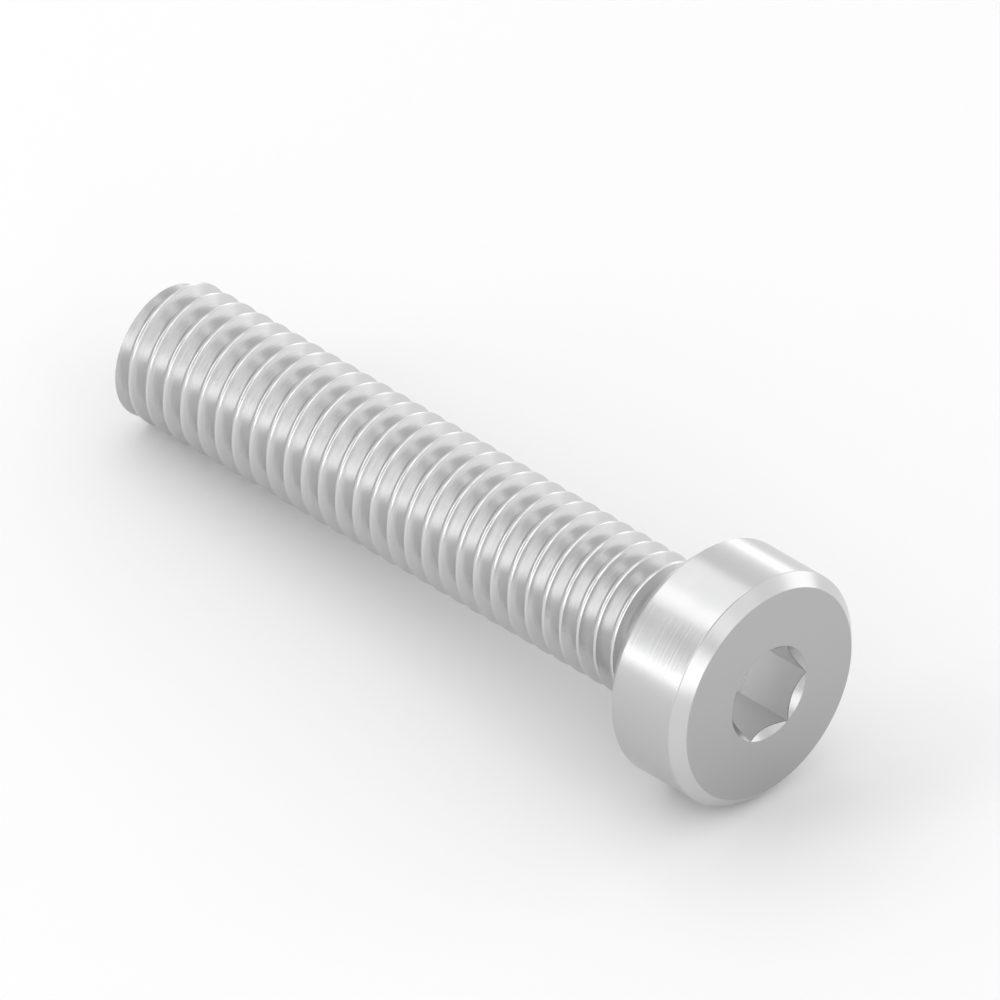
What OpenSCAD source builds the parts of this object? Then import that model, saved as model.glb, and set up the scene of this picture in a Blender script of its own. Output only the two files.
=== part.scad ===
// Low head socket cap screw with a metric thread over its whole shank, lying as it comes to rest:
// on the rim of its head and on the last full crest of its thread.

/* [Head] */
// Diameter of the head
head_d = 8.5; // [7.5:0.1:10]
// Height of the head, from its bearing face to its top
head_h = 3.5; // [3:0.1:5]
// Width of the bevel round the top of the head
top_bevel = 0.42; // [0.1:0.02:0.6]
// Width of the bevel round the bearing face
under_bevel = 0.44; // [0.1:0.02:0.6]
// Radius of the fillet between the bearing face and the neck
fillet_r = 0.35; // [0.1:0.05:0.45]

/* [Socket] */
// Width of the hexagon socket across its flats
key_w = 3; // [2.5:0.25:4]
// Depth of the hexagon, from the top of the head to its floor
socket_depth = 2.25; // [1.5:0.05:2.5]
// Full angle of the countersink at the socket's mouth
mouth_angle = 90; // [70:5:130]

/* [Thread] */
// Outside diameter of the thread
thread_d = 5; // [4.5:0.1:5.5]
// Distance from one crest of the thread to the next
pitch = 0.8; // [0.7:0.05:1]
// Length of the shank, from the bearing face to the end
shank_len = 25; // [10:1:28]
// Length of the plain neck between the head and the thread
neck_len = 0.5; // [0.45:0.05:1]
// Length over which the thread fades into the neck
runout_len = 0.6; // [0.4:0.1:1.2]

/* [End] */
// Diameter of the flat end face
end_d = 3; // [2:0.1:3.6]
// Angle between the bevel of the end and the screw's axis
end_angle = 60; // [45:5:70]

/* [Hidden] */
steel = [0.72, 0.72, 0.73];

head_r = head_d / 2;
thread_r = thread_d / 2;
end_r = end_d / 2;
corner_r = key_w / 2 / cos(30);

// How far a cutting shape stands past the surface that it cuts
overrun = 0.5;
// How far the fillet bites into the neck, so that the two cross at a clear angle
fillet_bite = 0.03;
// Straight steps in the fillet's quarter turn
fillet_steps = 6;
// Flat facets round one turn of the thread
turn_steps = 30;
// Flat facets round the turned forms
turned_steps = 72;
// Where the crest crosses the screw's lowest line, below the bearing face
start_share = 0.425;

// Metric thread form over one pitch, as shares of the pitch: the place along the axis, and the depth
// under the crest. The flanks meet at 60 degrees, the crest is 1/8 wide, and the root is rounded.
form_height_share = cos(30);
form_shares = [
    [-1 / 16, 0],
    [1 / 16, 0],
    [3 / 8, 5 / 8 * form_height_share],
    [1 / 2, 17 / 24 * form_height_share],
    [5 / 8, 5 / 8 * form_height_share]
];
form_points = len(form_shares);
// The blank that the thread is rolled on has the thread's pitch diameter
blank_r = thread_r - 3 / 8 * form_height_share * pitch;

// The helix starts a whole turn below the end and stops inside the head
turns_below = ceil((shank_len - start_share * pitch) / pitch) + 1;
foot_z = -(turns_below + start_share) * pitch;
rows = form_points * (turns_below + 1);

// The bevel of the end leaves full crests from here on, and the screw rests on the first of them
end_bevel_len = (thread_r - end_r) / tan(end_angle);
crest_half = pitch / 16;
crests_to_rest = floor((shank_len - end_bevel_len - crest_half) / pitch - start_share);
rest_z = -(crests_to_rest + start_share) * pitch - crest_half;

// Tilt of the axis at rest, and what brings the box's bottom centre to the origin
tilt = atan2(head_r - thread_r, under_bevel - rest_z);
lift = head_r * cos(tilt) - under_bevel * sin(tilt);
head_reach = head_h * cos(tilt) + (head_r - top_bevel) * sin(tilt);
end_reach = shank_len * cos(tilt) + end_r * sin(tilt);

// Radius of the screw at a height: the thread form, fading into the blank near the head
function form_r(z, depth) =
    let (fade = min(max((-z - neck_len) / runout_len, 0), 1))
    blank_r + (thread_r - depth - blank_r) * fade;

// One point of the thread's surface, on the helix of its row
function thread_point(row, step) =
    let (
        angle = 360 * step / turn_steps,
        form = form_shares[row % form_points],
        turn = floor(row / form_points) + angle / 360,
        z = foot_z + pitch * (turn + form[0]),
        r = form_r(z, pitch * form[1])
    )
    [r * cos(angle), r * sin(angle), z];

// Index of a point: past the last step of a row, the helix goes on one turn higher
function at(row, step) =
    step < turn_steps ? row * turn_steps + step : at(row + form_points, step - turn_steps);

// Triangles that close a loop of points with one point on the axis
function fan(loop, centre) =
    [for (i = [0 : len(loop) - 1]) [loop[i], loop[(i + 1) % len(loop)], centre]];

// A round blank with the thread's ridge wound round it, longer than the shank at both ends
module threaded_rod() {
    top = rows - 1;
    last = turn_steps - 1;
    sides = [
        for (row = [0 : top - 1])
            for (step = [0 : last])
                if (step < last || row < top - form_points)
                    each [
                        [at(row, step), at(row + 1, step), at(row + 1, step + 1)],
                        [at(row, step), at(row + 1, step + 1), at(row, step + 1)]
                    ]
    ];
    foot_loop = concat(
        [for (step = [0 : last]) at(0, step)],
        [for (row = [form_points : -1 : 1]) at(row, 0)]
    );
    top_loop = concat(
        [for (row = [top - form_points : top]) at(row, last)],
        [for (step = [last - 1 : -1 : 0]) at(top, step)]
    );
    surface = [for (row = [0 : top]) for (step = [0 : last]) thread_point(row, step)];
    foot_centre = [0, 0, foot_z + pitch / 2];
    top_centre = [0, 0, foot_z + pitch * (turns_below + 1)];
    polyhedron(
        points = concat(surface, [foot_centre, top_centre]),
        faces = concat(
            sides,
            fan(foot_loop, len(surface)),
            fan(top_loop, len(surface) + 1)
        )
    );
}

// What the finished shank fits in: a flat end face and a bevel up to clear of the crests
module shank_envelope() {
    clear_r = thread_r + overrun;
    rotate_extrude($fn = turned_steps)
        polygon([
            [0, -shank_len],
            [end_r, -shank_len],
            [clear_r, -shank_len + (clear_r - end_r) / tan(end_angle)],
            [clear_r, head_h],
            [0, head_h]
        ]);
}

// The turned head, with its bevels and the fillet under it
module head_blank() {
    foot_r = blank_r - fillet_bite;
    rotate_extrude($fn = turned_steps)
        polygon(concat(
            [[0, -fillet_r]],
            [
                for (i = [0 : fillet_steps])
                    let (a = 90 * i / fillet_steps)
                    [foot_r + fillet_r * (1 - cos(a)), -fillet_r * (1 - sin(a))]
            ],
            [
                [head_r - under_bevel, 0],
                [head_r, under_bevel],
                [head_r, head_h - top_bevel],
                [head_r - top_bevel, head_h],
                [0, head_h]
            ]
        ));
}

// The hexagon with its corners level, and the countersink that just reaches them at the top
module socket() {
    mouth_h = corner_r / tan(mouth_angle / 2);
    translate([0, 0, head_h - socket_depth])
        rotate([0, 0, 30])
            cylinder(r = corner_r, h = socket_depth + overrun, $fn = 6);
    translate([0, 0, head_h - mouth_h])
        rotate_extrude($fn = turned_steps)
            polygon([
                [0, 0],
                [corner_r + overrun, (corner_r + overrun) / tan(mouth_angle / 2)],
                [0, (corner_r + overrun) / tan(mouth_angle / 2)]
            ]);
}

// From standing on its end to lying at rest, with the head toward +X
module lay_down() {
    translate([(end_reach - head_reach) / 2, 0, lift])
        rotate([0, 90 - tilt, 0])
            children();
}

module cap_screw() {
    color(steel)
        lay_down()
            difference() {
                union() {
                    intersection() {
                        threaded_rod();
                        shank_envelope();
                    }
                    head_blank();
                }
                socket();
            }
}

cap_screw();
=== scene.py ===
"""Dresses the low head cap screw: one fine steel mesh, its finish, a pale floor, soft lamps and the camera.

Lengths are metres in the model's own frame: +X towards the head, +Z up, and the screw lies on Z = 0.
"""

import logging
import math
from dataclasses import dataclass

import bpy
import numpy as np
from mathutils import Matrix, Vector


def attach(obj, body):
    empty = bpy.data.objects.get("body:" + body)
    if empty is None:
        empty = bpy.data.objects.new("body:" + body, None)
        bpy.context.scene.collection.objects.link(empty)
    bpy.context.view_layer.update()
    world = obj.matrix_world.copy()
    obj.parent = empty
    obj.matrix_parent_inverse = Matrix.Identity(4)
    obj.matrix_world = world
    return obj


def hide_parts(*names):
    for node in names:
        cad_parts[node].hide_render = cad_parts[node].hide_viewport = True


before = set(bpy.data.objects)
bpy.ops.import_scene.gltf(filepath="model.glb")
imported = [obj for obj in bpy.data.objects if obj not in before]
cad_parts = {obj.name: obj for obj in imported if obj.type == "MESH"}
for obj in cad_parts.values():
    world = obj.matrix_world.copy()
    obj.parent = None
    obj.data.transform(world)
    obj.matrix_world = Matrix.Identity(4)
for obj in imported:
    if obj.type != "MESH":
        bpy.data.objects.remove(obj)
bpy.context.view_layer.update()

LOG = logging.getLogger("cap_screw_scene")
MM = 0.001


@dataclass(frozen=True)
class ScrewSizes:
    """Real sizes of the screw, in metres, measured along its axis from the bearing face, head upwards."""

    head_radius: float = 4.25 * MM
    head_height: float = 3.5 * MM
    top_bevel: float = 0.42 * MM
    under_bevel: float = 0.44 * MM
    fillet_radius: float = 0.35 * MM
    key_width: float = 3.0 * MM
    socket_depth: float = 2.25 * MM
    thread_radius: float = 2.5 * MM
    pitch: float = 0.8 * MM
    shank_length: float = 25.0 * MM
    neck_length: float = 0.5 * MM
    runout_length: float = 0.6 * MM
    end_radius: float = 1.5 * MM
    end_angle: float = math.radians(60.0)
    start_share: float = 0.425
    edge_break: float = 0.025 * MM

    @property
    def form_height(self) -> float:
        """Height of the sharp 60 degree thread triangle: the pitch times the cosine of 30 degrees."""
        return self.pitch * math.cos(math.radians(30.0))

    @property
    def blank_radius(self) -> float:
        """Radius of the blank that the thread is rolled on, which is the thread's pitch radius."""
        return self.thread_radius - 3.0 / 8.0 * self.form_height

    @property
    def corner_radius(self) -> float:
        """Distance from the axis to a corner of the hexagon."""
        return self.key_width / 2.0 / math.cos(math.radians(30.0))

    @property
    def rest_height(self) -> float:
        """Place along the axis of the last full crest, which the screw rests on."""
        bevel_length = (self.thread_radius - self.end_radius) / math.tan(self.end_angle)
        crest_half = self.pitch / 16.0
        turns = math.floor((self.shank_length - bevel_length - crest_half) / self.pitch - self.start_share)
        return -(turns + self.start_share) * self.pitch - crest_half

    @property
    def tilt(self) -> float:
        """Angle in radians by which the axis rises towards the head when the screw lies on a flat floor."""
        rise = self.head_radius - self.thread_radius
        return math.atan2(rise, self.under_bevel - self.rest_height)

    def to_frame(self) -> Matrix:
        """Matrix from the screw's own axes to the model's frame.

        Returns:
            The screw's z axis turned to lie along +X and rise by the tilt, with its x axis downwards,
            lifted until the head's rim touches the floor and centred lengthwise on the origin.
        """
        cos_tilt, sin_tilt = math.cos(self.tilt), math.sin(self.tilt)
        lift = self.head_radius * cos_tilt - self.under_bevel * sin_tilt
        head_reach = self.head_height * cos_tilt + (self.head_radius - self.top_bevel) * sin_tilt
        end_reach = self.shank_length * cos_tilt + self.end_radius * sin_tilt
        turn = Matrix.Rotation(math.pi / 2.0 - self.tilt, 4, "Y")
        return Matrix.Translation((0.5 * (end_reach - head_reach), 0.0, lift)) @ turn


def rounded_profile(corners: np.ndarray, radius: float, steps: int = 3) -> np.ndarray:
    """Breaks every inner corner of an open profile with a short smooth curve.

    Each corner is replaced by points of the quadratic curve that leaves the profile one radius before
    the corner and joins it one radius after it: (1-t)^2 before + 2t(1-t) corner + t^2 after.

    Args:
        corners: Points (radius, height), one per row.
        radius: How far from the corner the break starts.
        steps: Straight steps in each break.

    Returns:
        The new points, one per row.
    """
    inner = corners[1:-1]
    towards_last = corners[:-2] - inner
    towards_next = corners[2:] - inner
    towards_last /= np.linalg.norm(towards_last, axis=1, keepdims=True)
    towards_next /= np.linalg.norm(towards_next, axis=1, keepdims=True)
    t = np.linspace(0.0, 1.0, steps + 1)[None, :, None]
    start = (inner + radius * towards_last)[:, None, :]
    stop = (inner + radius * towards_next)[:, None, :]
    curve = (1 - t) ** 2 * start + 2 * t * (1 - t) * inner[:, None, :] + t**2 * stop
    return np.vstack([corners[:1], curve.reshape(-1, 2), corners[-1:]])


@dataclass(frozen=True)
class ThreadedShank:
    """The rolled thread, its run-out under the head and the bevelled end.

    The shares, breaks and places are parts of one pitch, counted from the middle of a crest.
    """

    sizes: ScrewSizes
    steps: int
    crest_share: float = 1.0 / 16.0
    root_share: float = 3.0 / 8.0
    break_on_flat: float = 0.022
    break_on_flank: float = 0.012
    flank_place: float = 0.22
    root_places: tuple[float, ...] = (0.42, 0.46, 0.5, 0.54, 0.58)
    turns_past_end: int = 1
    spare_turns: int = 3

    def form(self) -> np.ndarray:
        """The metric thread form over one pitch.

        The depth under the crest is 0 on the crest flat, grows as distance / tan 30 on the flanks, and in
        the root follows the circle of radius height / 6 that touches both flanks. The crest's two edges are
        each broken by two rows.

        Returns:
            Rows of (place along the axis, depth), both in metres, from one crest to just before the next.
        """
        height = math.cos(math.radians(30.0))
        on_flat = self.crest_share - self.break_on_flat
        on_flank = self.crest_share + self.break_on_flank
        falling = [-on_flank, -on_flat, on_flat, on_flank, self.flank_place, self.root_share]
        rising = [1.0 - self.root_share, 1.0 - self.flank_place]
        places = np.array([*falling, *self.root_places, *rising])
        to_root = np.abs(np.mod(places, 1.0) - 0.5)
        arc = height / 6.0
        flank = (0.5 - to_root - self.crest_share) / math.tan(math.radians(30.0))
        hollow = height * 7.0 / 8.0 - 2.0 * arc + np.sqrt(np.clip(arc**2 - to_root**2, 0.0, None))
        depth = np.where(to_root < 0.5 - self.root_share, hollow, flank)
        depth = np.where(to_root > 0.5 - self.crest_share, 0.0, depth)
        return np.column_stack([places, depth]) * self.sizes.pitch

    def grid(self) -> tuple[np.ndarray, np.ndarray]:
        """Radius and height of the thread's surface on rows that climb with the helix.

        height = foot + pitch * (turn + angle / full turn) + place, and radius = outer radius - depth, which
        fades into the blank's radius along the run-out. Points outside the end's cone move onto it, and the
        first of them on each flank moves along the flank to the cone itself, so that the cut stays sharp.

        Returns:
            Two arrays (row, step): radius and height.
        """
        size = self.sizes
        form = self.form()
        whole_turns = math.ceil(size.shank_length / size.pitch)
        turns = whole_turns + self.spare_turns
        foot = -(whole_turns + self.turns_past_end + size.start_share) * size.pitch
        turn = np.repeat(np.arange(turns), len(form))[:, None] + np.arange(self.steps)[None, :] / self.steps
        place = np.tile(form[:, 0], turns)[:, None]
        depth = np.tile(form[:, 1], turns)[:, None]
        height = foot + size.pitch * turn + place
        fade = np.clip((-height - size.neck_length) / size.runout_length, 0.0, 1.0)
        radius = size.blank_radius + (size.thread_radius - depth - size.blank_radius) * fade
        radius, height = self.cut_end(radius, height)
        top = -size.fillet_radius
        radius = np.where(height > top, size.blank_radius, radius)
        return radius, np.minimum(height, top)

    def cut_end(self, radius: np.ndarray, height: np.ndarray) -> tuple[np.ndarray, np.ndarray]:
        """Cuts the thread to the cone of the end's bevel and to the flat end face.

        The cone's radius is end radius + (height above the end face) * tan(end angle).

        Args:
            radius: Radius of each grid point.
            height: Height of each grid point.

        Returns:
            Both arrays, cut.
        """
        size = self.sizes
        slope = math.tan(size.end_angle)
        over = radius - (size.end_radius + (height + size.shank_length) * slope)
        to_move = over > 0.0
        new_radius, new_height = radius.copy(), height.copy()
        rows = np.arange(len(radius))
        for beside in (np.maximum(rows - 1, 0), np.minimum(rows + 1, len(rows) - 1)):
            crossing = to_move & (over[beside] <= 0.0)
            share = np.where(crossing, over / np.where(crossing, over - over[beside], 1.0), 0.0)
            new_radius += share * (radius[beside] - radius)
            new_height += share * (height[beside] - height)
            to_move &= ~crossing
        cone = size.end_radius + np.clip(new_height + size.shank_length, 0.0, None) * slope
        return np.minimum(new_radius, cone), np.maximum(new_height, -size.shank_length)


@dataclass(frozen=True)
class SocketHead:
    """The low round head, its bevels, the fillet under it and the hexagon socket.

    A bow is the share of an edge's break at which the middle row of the break lies.
    """

    sizes: ScrewSizes
    steps: int
    fillet_points: int = 9
    mouth_bow: float = 0.7
    floor_bow: float = 0.3

    def outside(self) -> np.ndarray:
        """Profile of the head from the neck to the socket's mouth, as rows of (radius, height)."""
        size = self.sizes
        a = np.linspace(0.0, math.pi / 2.0, self.fillet_points)
        fillet = np.column_stack(
            [
                size.blank_radius + size.fillet_radius * (1.0 - np.cos(a)),
                -size.fillet_radius * (1.0 - np.sin(a)),
            ]
        )
        corners = np.array(
            [
                [size.blank_radius + size.fillet_radius, 0.0],
                [size.head_radius - size.under_bevel, 0.0],
                [size.head_radius, size.under_bevel],
                [size.head_radius, size.head_height - size.top_bevel],
                [size.head_radius - size.top_bevel, size.head_height],
                [size.corner_radius + size.edge_break, size.head_height],
            ]
        )
        return np.vstack([fillet[:-1], rounded_profile(corners, size.edge_break)])

    def hexagon(self, angle: np.ndarray) -> np.ndarray:
        """Distance from the axis to the hexagon: half its width / cos(angle off the flat's middle)."""
        off_middle = np.mod(angle - math.radians(30.0), math.radians(60.0)) - math.radians(30.0)
        return self.sizes.key_width / 2.0 / np.cos(off_middle)

    def grid(self) -> tuple[np.ndarray, np.ndarray]:
        """Radius and height of the head's surface, from the neck round to the rim of the socket's floor.

        The countersink falls one for one from its rim, and meets the hexagon where its radius is the
        hexagon's own, so the edge between them swings down in the middle of each flat.

        Returns:
            Two arrays (row, step): radius and height.
        """
        size = self.sizes
        angle = np.arange(self.steps) / self.steps * 2.0 * math.pi
        ring = np.ones_like(angle)
        out = self.outside()
        wall = self.hexagon(angle)
        floor = size.head_height - size.socket_depth
        sink = size.corner_radius - wall
        soft = np.minimum(size.edge_break, sink)
        edge = size.head_height - sink
        radius_rows = [
            ring * size.corner_radius,
            wall + self.mouth_bow * soft,
            wall,
            wall,
            wall,
            wall - self.floor_bow * size.edge_break,
            wall - size.edge_break,
            0.5 * wall,
        ]
        height_rows = [
            ring * size.head_height,
            edge + self.mouth_bow * soft,
            edge - 0.5 * soft,
            ring * (floor + 0.5 * size.socket_depth),
            ring * (floor + size.edge_break),
            ring * (floor + self.floor_bow * size.edge_break),
            ring * floor,
            ring * floor,
        ]
        radius = np.vstack([out[:, :1] * ring, np.array(radius_rows)])
        height = np.vstack([out[:, 1:] * ring, np.array(height_rows)])
        return radius, height


@dataclass(frozen=True)
class BrightSteel:
    """Bare bright steel, cold formed and tumbled: neutral grey, satin, with faint turning rings.

    The eye gets a cool neutral metal whose soft streaks break up a little over shallow dimples about
    a millimetre wide and a roughness that is not quite even. The tints of the faces, the head's side,
    the bevels, the thread and the socket are painted light and shade: lighter and darker copies of one
    steel, matched to the photograph, and not measured values of steel. The flat faces carry painted
    shade, and the bevels, the thread and the socket carry painted light. The socket's walls are paler
    than real steel, as painted light that makes up for the light lost between them.
    Places are in millimetres along the axis from the bearing face, or off it.
    """

    name: str = "bright_steel_tumbled"
    # Painted light and shade: each tint below is a lighter or darker copy of one steel, set per surface.
    face_painted_shade_colour: str = "#B4B4B5"
    side_shading_colour: str = "#C2C2C3"
    bevel_painted_light_colour: str = "#CCCCCC"
    thread_painted_light_colour: str = "#D2D2D2"
    # Painted light: the socket's walls and floor are paler copies of the steel, standing in for light lost
    # inside it.
    wall_painted_light_colour: str = "#F8F8F8"
    socket_floor_painted_light_colour: str = "#D6D6D6"
    head_roughness: float = 0.22
    thread_roughness: float = 0.22
    socket_roughness: float = 0.4
    roughness_spread: float = 0.06
    dimple_mm: float = 0.9
    ring_mm: float = 0.1
    dimple_depth_mm: float = 0.0015
    ring_depth_mm: float = 0.003
    thread_from_mm: tuple[float, float] = (-0.5, -1.0)
    head_middle_mm: float = 1.75
    bevels_mm: tuple[float, float] = (5.545, 5.56)
    middle_mm: float = -10.75
    ends_mm: tuple[float, float] = (14.235, 14.245)
    socket_floor_mm: tuple[float, float] = (1.26, 1.28)
    socket_reach_mm: float = 1.745
    mouth_mm: tuple[float, float] = (1.74, 1.755)

    def build(self, to_frame: Matrix) -> bpy.types.Material:
        """Builds the material.

        Args:
            to_frame: Matrix from the screw's own axes to the frame, whose inverse centres the rings.

        Returns:
            The material, patterned on Object coordinates.
        """
        material = bpy.data.materials.new(self.name)
        material.use_nodes = True
        tree = material.node_tree
        shader = tree.nodes["Principled BSDF"]
        shader.inputs["Metallic"].default_value = 1.0
        where = add_node(tree, "ShaderNodeTexCoord")
        centred = add_node(
            tree,
            "ShaderNodeMapping",
            {"vector_type": "TEXTURE", "Location": to_frame.translation, "Rotation": to_frame.to_euler()},
            {"Vector": where.outputs["Object"]},
        )
        in_mm = add_node(
            tree,
            "ShaderNodeVectorMath",
            {"operation": "SCALE", "Scale": 1.0 / MM},
            {"Vector": centred.outputs["Vector"]},
        )
        dimples = add_node(
            tree,
            "ShaderNodeTexNoise",
            {"Scale": 1.0 / self.dimple_mm, "Detail": 1.0, "Roughness": 0.5},
            {"Vector": in_mm.outputs["Vector"]},
        )
        parts = add_node(tree, "ShaderNodeSeparateXYZ", {}, {"Vector": in_mm.outputs["Vector"]})
        flat = add_node(
            tree,
            "ShaderNodeCombineXYZ",
            {"Z": 0.0},
            {"X": parts.outputs["X"], "Y": parts.outputs["Y"]},
        )
        off_axis = add_node(
            tree, "ShaderNodeVectorMath", {"operation": "LENGTH"}, {"Vector": flat.outputs["Vector"]}
        )
        above_mouth = add_node(
            tree,
            "ShaderNodeMath",
            {"operation": "SUBTRACT"},
            {"Value": parts.outputs["Z"], "Value_001": off_axis.outputs["Value"]},
        )
        ring_place = add_node(
            tree,
            "ShaderNodeCombineXYZ",
            {"Z": 0.0},
            {"X": off_axis.outputs["Value"], "Y": parts.outputs["Z"]},
        )
        rings = add_node(
            tree,
            "ShaderNodeTexNoise",
            {"Scale": 1.0 / self.ring_mm, "Detail": 2.0, "Roughness": 0.6},
            {"Vector": ring_place.outputs["Vector"]},
        )
        near_axis = add_node(
            tree,
            "ShaderNodeMath",
            {"operation": "LESS_THAN", "Value_001": self.socket_reach_mm},
            {"Value": off_axis.outputs["Value"]},
        )
        in_socket = add_node(
            tree,
            "ShaderNodeMapRange",
            {"From Min": self.mouth_mm[0], "From Max": self.mouth_mm[1], "To Max": 0.0},
            {"Value": above_mouth.outputs["Value"], "To Min": near_axis.outputs["Value"]},
        )
        on_thread = add_node(
            tree,
            "ShaderNodeMapRange",
            {"From Min": self.thread_from_mm[0], "From Max": self.thread_from_mm[1]},
            {"Value": parts.outputs["Z"]},
        )
        from_middle = add_node(
            tree,
            "ShaderNodeMath",
            {"operation": "SUBTRACT", "Value_001": self.middle_mm},
            {"Value": parts.outputs["Z"]},
        )
        half_length = add_node(
            tree, "ShaderNodeMath", {"operation": "ABSOLUTE"}, {"Value": from_middle.outputs["Value"]}
        )
        on_ends = add_node(
            tree,
            "ShaderNodeMapRange",
            {"From Min": self.ends_mm[0], "From Max": self.ends_mm[1]},
            {"Value": half_length.outputs["Value"]},
        )
        above_floor = add_node(
            tree,
            "ShaderNodeMapRange",
            {"From Min": self.socket_floor_mm[0], "From Max": self.socket_floor_mm[1]},
            {"Value": parts.outputs["Z"]},
        )
        # Painted light: the socket's floor and walls get paler copies of the steel.
        socket_tint = add_node(
            tree,
            "ShaderNodeMix",
            {
                "data_type": "RGBA",
                "A_Color": linear(self.socket_floor_painted_light_colour),
                "B_Color": linear(self.wall_painted_light_colour),
            },
            {"Factor_Float": above_floor.outputs["Result"]},
        )
        from_head_middle = add_node(
            tree,
            "ShaderNodeMath",
            {"operation": "SUBTRACT", "Value_001": self.head_middle_mm},
            {"Value": parts.outputs["Z"]},
        )
        half_height = add_node(
            tree, "ShaderNodeMath", {"operation": "ABSOLUTE"}, {"Value": from_head_middle.outputs["Value"]}
        )
        corner_reach = add_node(
            tree,
            "ShaderNodeMath",
            {"operation": "ADD"},
            {"Value": half_height.outputs["Value"], "Value_001": off_axis.outputs["Value"]},
        )
        on_bevels = add_node(
            tree,
            "ShaderNodeMapRange",
            {"From Min": self.bevels_mm[0], "From Max": self.bevels_mm[1]},
            {"Value": corner_reach.outputs["Value"]},
        )
        # Painted light and shade: the head's side and its bevels get different copies of one steel.
        side_and_bevel_tint = add_node(
            tree,
            "ShaderNodeMix",
            {
                "data_type": "RGBA",
                "A_Color": linear(self.side_shading_colour),
                "B_Color": linear(self.bevel_painted_light_colour),
            },
            {"Factor_Float": on_bevels.outputs["Result"]},
        )
        head_tint = add_node(
            tree,
            "ShaderNodeMix",
            {"data_type": "RGBA"},
            {
                "Factor_Float": in_socket.outputs["Result"],
                "A_Color": find_socket(side_and_bevel_tint.outputs, "Result_Color"),
                "B_Color": find_socket(socket_tint.outputs, "Result_Color"),
            },
        )
        # Painted light: the thread gets a paler copy of the steel.
        round_tint = add_node(
            tree,
            "ShaderNodeMix",
            {"data_type": "RGBA", "B_Color": linear(self.thread_painted_light_colour)},
            {
                "Factor_Float": on_thread.outputs["Result"],
                "A_Color": find_socket(head_tint.outputs, "Result_Color"),
            },
        )
        # Painted shade: the flat faces at both ends get a darker copy of the steel.
        tint = add_node(
            tree,
            "ShaderNodeMix",
            {"data_type": "RGBA", "B_Color": linear(self.face_painted_shade_colour)},
            {
                "Factor_Float": on_ends.outputs["Result"],
                "A_Color": find_socket(round_tint.outputs, "Result_Color"),
            },
        )
        head_rough = add_node(
            tree,
            "ShaderNodeMix",
            {"data_type": "FLOAT", "A_Float": self.head_roughness, "B_Float": self.socket_roughness},
            {"Factor_Float": in_socket.outputs["Result"]},
        )
        even_rough = add_node(
            tree,
            "ShaderNodeMix",
            {"data_type": "FLOAT", "B_Float": self.thread_roughness},
            {
                "Factor_Float": on_thread.outputs["Result"],
                "A_Float": find_socket(head_rough.outputs, "Result_Float"),
            },
        )
        rough = add_node(
            tree,
            "ShaderNodeMath",
            {"operation": "MULTIPLY_ADD", "Value_001": self.roughness_spread},
            {"Value": dimples.outputs["Fac"], "Value_002": find_socket(even_rough.outputs, "Result_Float")},
        )
        ring_bump = add_node(
            tree,
            "ShaderNodeBump",
            {"Strength": 1.0, "Distance": self.ring_depth_mm * MM},
            {"Height": rings.outputs["Fac"]},
        )
        dimple_bump = add_node(
            tree,
            "ShaderNodeBump",
            {"Strength": 1.0, "Distance": self.dimple_depth_mm * MM},
            {"Height": dimples.outputs["Fac"], "Normal": ring_bump.outputs["Normal"]},
        )
        tree.links.new(rough.outputs["Value"], shader.inputs["Roughness"])
        tree.links.new(find_socket(tint.outputs, "Result_Color"), shader.inputs["Base Color"])
        tree.links.new(dimple_bump.outputs["Normal"], shader.inputs["Normal"])
        return material


@dataclass(frozen=True)
class PaleFloor:
    """Matt pale board: almost white, without gloss, so that only the screw's soft shadow shows on it."""

    name: str = "pale_board"
    colour: str = "#FAFAFA"
    roughness: float = 0.9

    def build(self) -> bpy.types.Material:
        """Builds the matt material."""
        material = bpy.data.materials.new(self.name)
        material.use_nodes = True
        shader = material.node_tree.nodes["Principled BSDF"]
        shader.inputs["Base Color"].default_value = linear(self.colour)
        shader.inputs["Roughness"].default_value = self.roughness
        shader.inputs["Specular IOR Level"].default_value = 0.0
        return material


def linear(colour: str) -> tuple[float, float, float, float]:
    """Turns an sRGB hex colour into the linear colour that a shader takes.

    Args:
        colour: Six hex digits after a hash.

    Returns:
        Red, green, blue and an alpha of 1.
    """
    shares = np.array([int(colour[i : i + 2], 16) for i in (1, 3, 5)]) / 255.0
    low, high = shares / 12.92, ((shares + 0.055) / 1.055) ** 2.4
    red, green, blue = np.where(shares <= 0.04045, low, high)
    return float(red), float(green), float(blue), 1.0


def add_node(
    tree: bpy.types.NodeTree,
    kind: str,
    settings: dict[str, object] | None = None,
    links: dict[str, bpy.types.NodeSocket] | None = None,
) -> bpy.types.Node:
    """Adds one node with its settings and its incoming links.

    Args:
        tree: The node tree.
        kind: The node's type.
        settings: Values by property name, socket name or socket identifier.
        links: The output that feeds each input, by socket name or identifier.

    Returns:
        The new node.
    """
    node = tree.nodes.new(kind)
    for name, value in (settings or {}).items():
        if name in node.bl_rna.properties:
            setattr(node, name, value)
    for name, value in (settings or {}).items():
        if name not in node.bl_rna.properties:
            find_socket(node.inputs, name).default_value = value
    for name, output in (links or {}).items():
        tree.links.new(output, find_socket(node.inputs, name))
    return node


def find_socket(sockets: bpy.types.bpy_prop_collection, name: str) -> bpy.types.NodeSocket:
    """The socket with that identifier, or else with that name."""
    return next((socket for socket in sockets if socket.identifier == name), None) or sockets[name]


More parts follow.
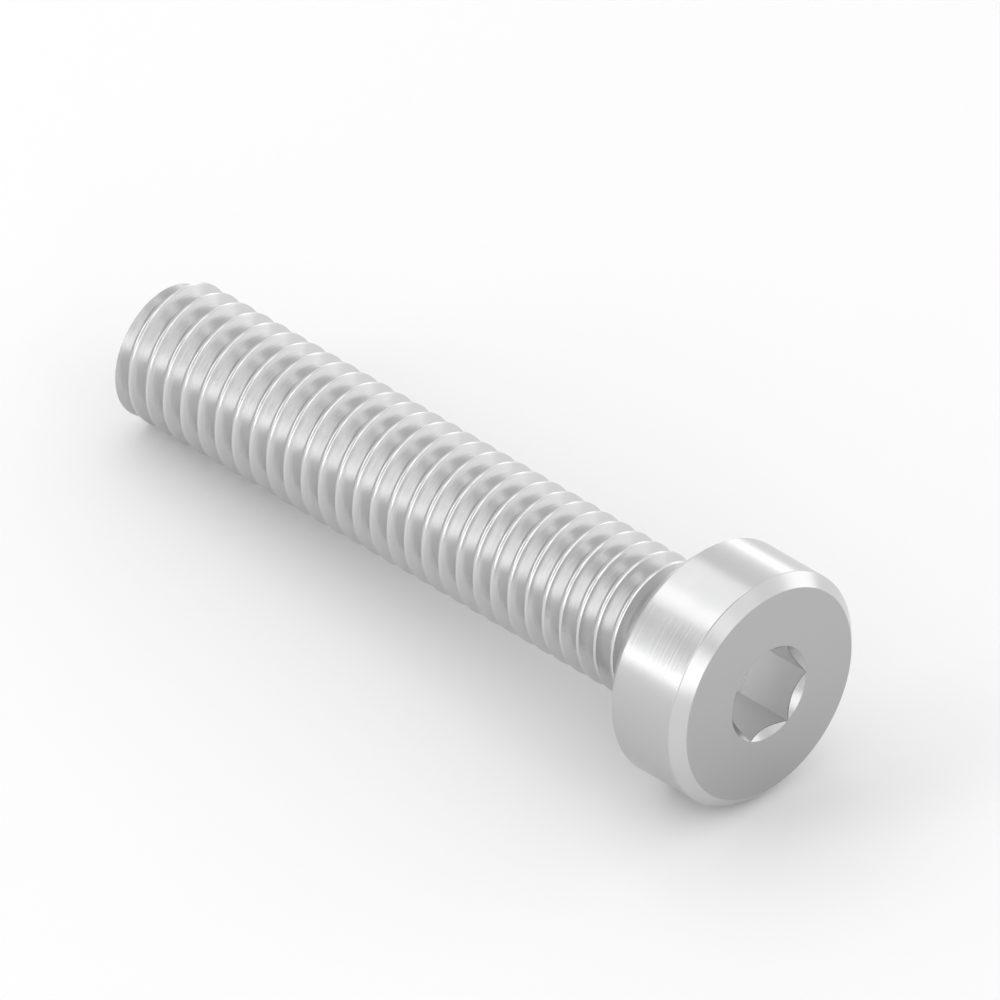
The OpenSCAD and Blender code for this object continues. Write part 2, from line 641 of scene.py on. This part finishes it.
@dataclass(frozen=True)
class CapScrew:
    """The whole screw: the shank's and the head's surfaces sewn into one closed mesh."""

    sizes: ScrewSizes = ScrewSizes()
    finish: BrightSteel = BrightSteel()
    steps_per_turn: int = 180
    node: str = "cap_screw"
    slot: str = "bright_steel"
    body: str = "root"
    sharp_angle: float = math.radians(35.0)

    def surface(self) -> tuple[np.ndarray, np.ndarray]:
        """Points and triangles of the closed surface, in the screw's own axes.

        The shank's rows climb one turn per pitch, so its last step joins the row one turn higher, and the
        head's rows are rings. Rows that fall together on the neck and on the end face become one ring.

        Returns:
            Points (n, 3), and triangles (m, 3) whose normals point outwards.
        """
        steps = self.steps_per_turn
        shank = ThreadedShank(self.sizes, steps)
        shank_radius, shank_height = shank.grid()
        head_radius, head_height = SocketHead(self.sizes, steps).grid()
        rows, head_rows = len(shank_radius), len(head_radius)
        angle = np.arange(steps) / steps * 2.0 * math.pi
        radius = np.vstack([shank_radius, head_radius]).ravel()
        height = np.vstack([shank_height, head_height]).ravel()
        turned = np.tile(angle, rows + head_rows)
        points = np.column_stack([radius * np.cos(turned), radius * np.sin(turned), height])
        centres = np.array([[0.0, 0.0, -self.sizes.shank_length], [0.0, 0.0, head_height[-1, 0]]])
        points = np.vstack([points, centres])

        index = np.arange(rows * steps).reshape(rows, steps)
        per_turn = len(shank.form())
        seam = np.vstack([index[per_turn:, :1], index[-per_turn:, :1]])
        shank_index = np.hstack([index, seam])
        head_index = np.arange(head_rows * steps).reshape(head_rows, steps) + rows * steps
        head_index = np.hstack([head_index, head_index[:, :1]])
        end_centre, floor_centre = len(points) - 2, len(points) - 1
        triangles = np.vstack(
            [
                self.strips(shank_index[:-per_turn], points),
                self.strips(head_index, points),
                self.cap(shank_index[0], end_centre),
                self.cap(head_index[-1][::-1], floor_centre),
            ]
        )
        return self.sewn(points, triangles)

    @staticmethod
    def strips(index: np.ndarray, points: np.ndarray) -> np.ndarray:
        """Two triangles for each cell of a grid, turned outwards and parted along its shorter diagonal.

        Args:
            index: Point numbers (row, step).
            points: The points that they number.

        Returns:
            Triangles, two for each cell.
        """
        low_left, low_right = index[:-1, :-1].ravel(), index[:-1, 1:].ravel()
        high_left, high_right = index[1:, :-1].ravel(), index[1:, 1:].ravel()
        rising = np.linalg.norm(points[high_right] - points[low_left], axis=1)
        falling = np.linalg.norm(points[high_left] - points[low_right], axis=1)
        rises = (rising <= falling)[:, None]
        one = np.where(
            rises,
            np.column_stack([low_left, low_right, high_right]),
            np.column_stack([low_left, low_right, high_left]),
        )
        two = np.where(
            rises,
            np.column_stack([low_left, high_right, high_left]),
            np.column_stack([low_right, high_right, high_left]),
        )
        return np.vstack([one, two])

    @staticmethod
    def cap(ring: np.ndarray, centre: int) -> np.ndarray:
        """Triangles from a closed ring of point numbers to a centre point."""
        return np.column_stack([ring[1:], ring[:-1], np.full(len(ring) - 1, centre)])

    @staticmethod
    def sewn(points: np.ndarray, triangles: np.ndarray) -> tuple[np.ndarray, np.ndarray]:
        """Makes points at one place one point, and drops the triangles that this flattens."""
        nanometres = np.round(points / (MM * 1e-6)).astype(np.int64)
        _, first, number = np.unique(nanometres, axis=0, return_index=True, return_inverse=True)
        triangles = number.reshape(-1)[triangles]
        a, b, c = triangles.T
        triangles = triangles[(a != b) & (b != c) & (c != a)]
        used, compact = np.unique(triangles, return_inverse=True)
        return points[first][used], compact.reshape(-1, 3)

    def shading_normals(self, points: np.ndarray, triangles: np.ndarray) -> np.ndarray:
        """A normal for each corner of each triangle, so that flats look flat and small breaks look round.

        It is the sum of the normals of the triangles round the corner's point that lean less than the sharp
        angle from its own triangle, each times its area squared and its angle at the point.

        Args:
            points: The points.
            triangles: Three point numbers in each row.

        Returns:
            Unit normals (3 m, 3), in the order of the triangles' corners.
        """
        corners = points[triangles]
        ahead = np.roll(corners, -1, axis=1) - corners
        behind = np.roll(corners, 1, axis=1) - corners
        across = np.cross(ahead[:, 0], behind[:, 0])
        area = np.linalg.norm(across, axis=1)
        facing = across / area[:, None]
        reach = np.linalg.norm(ahead, axis=2) * np.linalg.norm(behind, axis=2)
        opening = np.arccos(np.clip(np.sum(ahead * behind, axis=2) / reach, -1.0, 1.0))
        weight = (opening * area[:, None] ** 2).ravel()

        owner = triangles.ravel()
        by_point = np.argsort(owner, kind="stable")
        count = np.bincount(owner)
        partners = count[owner]
        one = np.repeat(np.arange(len(owner)), partners)
        turn = np.arange(len(one)) - np.repeat(np.cumsum(partners) - partners, partners)
        other = by_point[(np.cumsum(count) - count)[owner[one]] + turn]
        lean = np.sum(facing[one // 3] * facing[other // 3], axis=1)
        pull = np.where(lean > math.cos(self.sharp_angle), weight[other], 0.0)
        normals = np.column_stack([np.bincount(one, pull * side) for side in facing[other // 3].T])
        return normals / np.linalg.norm(normals, axis=1, keepdims=True)

    def build(self) -> bpy.types.Object:
        """Makes the object in the frame, dresses it and lets it stand for its node.

        Returns:
            The screw's object, at the origin, with its place in its mesh.
        """
        points, triangles = self.surface()
        to_frame = self.sizes.to_frame()
        matrix = np.array(to_frame)
        placed = points @ matrix[:3, :3].T + matrix[:3, 3]
        mesh = bpy.data.meshes.new("screw")
        mesh.from_pydata(placed.tolist(), [], triangles.tolist())
        mesh.polygons.foreach_set("use_smooth", np.ones(len(triangles), dtype=bool))
        mesh.normals_split_custom_set(self.shading_normals(placed, triangles).tolist())
        mesh.materials.append(self.finish.build(to_frame))
        screw = bpy.data.objects.new("screw", mesh)
        bpy.context.scene.collection.objects.link(screw)
        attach(screw, self.body)
        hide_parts(self.node)
        LOG.info("screw: %d points, %d triangles", len(points), len(triangles))
        return screw


@dataclass(frozen=True)
class Softbox:
    """An area lamp that faces the screw; its brightness 1 is that of white paper in even light."""

    name: str
    towards: tuple[float, float, float]
    sides: tuple[float, float]
    brightness: float
    distance: float = 0.3

    def build(self, target: Vector) -> bpy.types.Object:
        """Hangs the lamp in its direction from the target and turns it to face the target.

        Args:
            target: The point that the lamp lights.

        Returns:
            The lamp's object.
        """
        lamp = bpy.data.lights.new(self.name, "AREA")
        lamp.shape = "RECTANGLE"
        lamp.size, lamp.size_y = self.sides
        lamp.energy = self.brightness * math.pi * lamp.size * lamp.size_y
        away = Vector(self.towards).normalized()
        holder = bpy.data.objects.new(self.name, lamp)
        holder.location = target + away * self.distance
        holder.rotation_euler = away.to_track_quat("Z", "Y").to_euler()
        bpy.context.scene.collection.objects.link(holder)
        LOG.info("lamp %s: %.3f W", self.name, lamp.energy)
        return holder


@dataclass(frozen=True)
class Studio:
    """The pale floor, the surroundings and the lamps.

    The surroundings are a soft sky that is bright low down and dimmer overhead, darkest a little to the
    front. Below the floor they have the floor's own tone, for a camera that stands under its edge. The
    lamps stand where the photograph's bright bands have their mirror directions, and their brightnesses
    are fitted to its greys, so they suit that one view best.
    """

    floor_side: float = 4.0
    floor_material: PaleFloor = PaleFloor()
    bright_side: str = "#F8F8F8"
    dim_side: str = "#BEBEBE"
    below_floor: str = "#E7E7E7"
    dim_towards: tuple[float, float, float] = (0.0, -0.4, 0.92)
    level: float = 1.2
    lamp_target: tuple[float, float, float] = (0.0, 0.0, 0.004)
    lamps: tuple[Softbox, ...] = (
        Softbox("key_box", (-0.577, -0.20, 0.79), (0.09, 0.09), 1.47),
        Softbox("middle_box", (-0.577, 0.05, 0.81), (0.06, 0.06), 1.1),
        Softbox("top_box", (-0.577, 0.30, 0.76), (0.09, 0.09), 0.8),
        Softbox("overhead_box", (-0.33, 0.30, 0.90), (0.08, 0.07), 1.3),
        Softbox("upper_front_box", (-0.41, -0.48, 0.77), (0.07, 0.08), 1.67),
        Softbox("front_strip", (-0.37, -0.80, 0.47), (0.09, 0.26), 1.94),
        Softbox("front_box", (-0.61, -0.77, 0.16), (0.05, 0.05), 1.2),
        Softbox("low_back_box", (-0.60, 0.80, 0.10), (0.09, 0.08), 1.1),
        Softbox("right_front_box", (0.79, -0.52, 0.30), (0.09, 0.14), 1.1),
        Softbox("right_side_box", (0.80, -0.08, 0.60), (0.08, 0.10), 0.7),
        Softbox("right_back_box", (0.30, 0.93, 0.25), (0.14, 0.12), 0.6),
        Softbox("right_top_box", (0.62, 0.22, 0.74), (0.14, 0.14), 0.3),
    )

    def build(self) -> None:
        """Makes the floor, the world and the lamps."""
        half = self.floor_side / 2.0
        mesh = bpy.data.meshes.new("floor")
        corners = [(-half, -half, 0), (half, -half, 0), (half, half, 0), (-half, half, 0)]
        mesh.from_pydata(corners, [], [(0, 1, 2, 3)])
        mesh.materials.append(self.floor_material.build())
        floor = bpy.data.objects.new("floor", mesh)
        bpy.context.scene.collection.objects.link(floor)
        world = bpy.data.worlds.new("soft_surroundings")
        world.use_nodes = True
        tree = world.node_tree
        background = tree.nodes["Background"]
        background.inputs["Strength"].default_value = self.level
        where = add_node(tree, "ShaderNodeTexCoord")
        towards_dim = add_node(
            tree,
            "ShaderNodeVectorMath",
            {"operation": "DOT_PRODUCT", "Vector_001": self.dim_towards},
            {"Vector": where.outputs["Generated"]},
        )
        sky = add_node(
            tree,
            "ShaderNodeMix",
            {"data_type": "RGBA", "A_Color": linear(self.bright_side), "B_Color": linear(self.dim_side)},
            {"Factor_Float": towards_dim.outputs["Value"]},
        )
        height = add_node(tree, "ShaderNodeSeparateXYZ", {}, {"Vector": where.outputs["Generated"]})
        above = add_node(
            tree,
            "ShaderNodeMath",
            {"operation": "GREATER_THAN", "Value_001": 0.0},
            {"Value": height.outputs["Z"]},
        )
        all_round = add_node(
            tree,
            "ShaderNodeMix",
            {"data_type": "RGBA", "A_Color": linear(self.below_floor)},
            {
                "Factor_Float": above.outputs["Value"],
                "B_Color": find_socket(sky.outputs, "Result_Color"),
            },
        )
        tree.links.new(find_socket(all_round.outputs, "Result_Color"), background.inputs["Color"])
        bpy.context.scene.world = world
        for lamp in self.lamps:
            lamp.build(Vector(self.lamp_target))
        LOG.info("studio: floor, surroundings and %d lamps", len(self.lamps))


@dataclass(frozen=True)
class PhotoCamera:
    """A parallel camera that sees the screw as the photograph does: an equal view of its three axes."""

    sizes: ScrewSizes
    pixels: int = 1000
    pixels_per_mm: float = 30.43
    bearing_centre_px: tuple[float, float] = (693.9, 650.4)
    distance: float = 0.3
    nearest: float = 0.01
    farthest: float = 10.0

    def build(self) -> bpy.types.Object:
        """Places the camera, turned with the screw's tilt, and makes it the scene's camera.

        The camera stands off along (1, -1, 1) of the axes that follow the screw, and is shifted across its
        own view until the bearing face's centre lies on its pixel.

        Returns:
            The camera's object.
        """
        with_screw = Matrix.Rotation(-self.sizes.tilt, 3, "Y")
        back = with_screw @ Vector((1.0, -1.0, 1.0)).normalized()
        up = with_screw @ Vector((-1.0, 1.0, 2.0)).normalized()
        right = up.cross(back)
        metres_per_pixel = MM / self.pixels_per_mm
        across = (self.pixels / 2.0 - self.bearing_centre_px[0]) * metres_per_pixel
        upwards = (self.bearing_centre_px[1] - self.pixels / 2.0) * metres_per_pixel
        bearing_centre = self.sizes.to_frame().translation
        data = bpy.data.cameras.new("camera")
        data.type = "ORTHO"
        data.ortho_scale = self.pixels * metres_per_pixel
        data.clip_start = self.nearest
        data.clip_end = self.farthest
        camera = bpy.data.objects.new("camera", data)
        turn = Matrix((right, up, back)).transposed().to_4x4()
        place = bearing_centre + right * across + up * upwards + back * self.distance
        camera.matrix_world = Matrix.Translation(place) @ turn
        bpy.context.scene.collection.objects.link(camera)
        bpy.context.scene.camera = camera
        LOG.info("camera: %.2f mm across its view", data.ortho_scale / MM)
        return camera


def main() -> None:
    """Builds the camera, the screw and the studio in that order."""
    logging.basicConfig(level=logging.INFO, format="%(name)s: %(message)s")
    bpy.context.scene.view_settings.view_transform = "Standard"
    sizes = ScrewSizes()
    PhotoCamera(sizes).build()
    CapScrew(sizes).build()
    Studio().build()


if __name__ == "__main__":
    main()
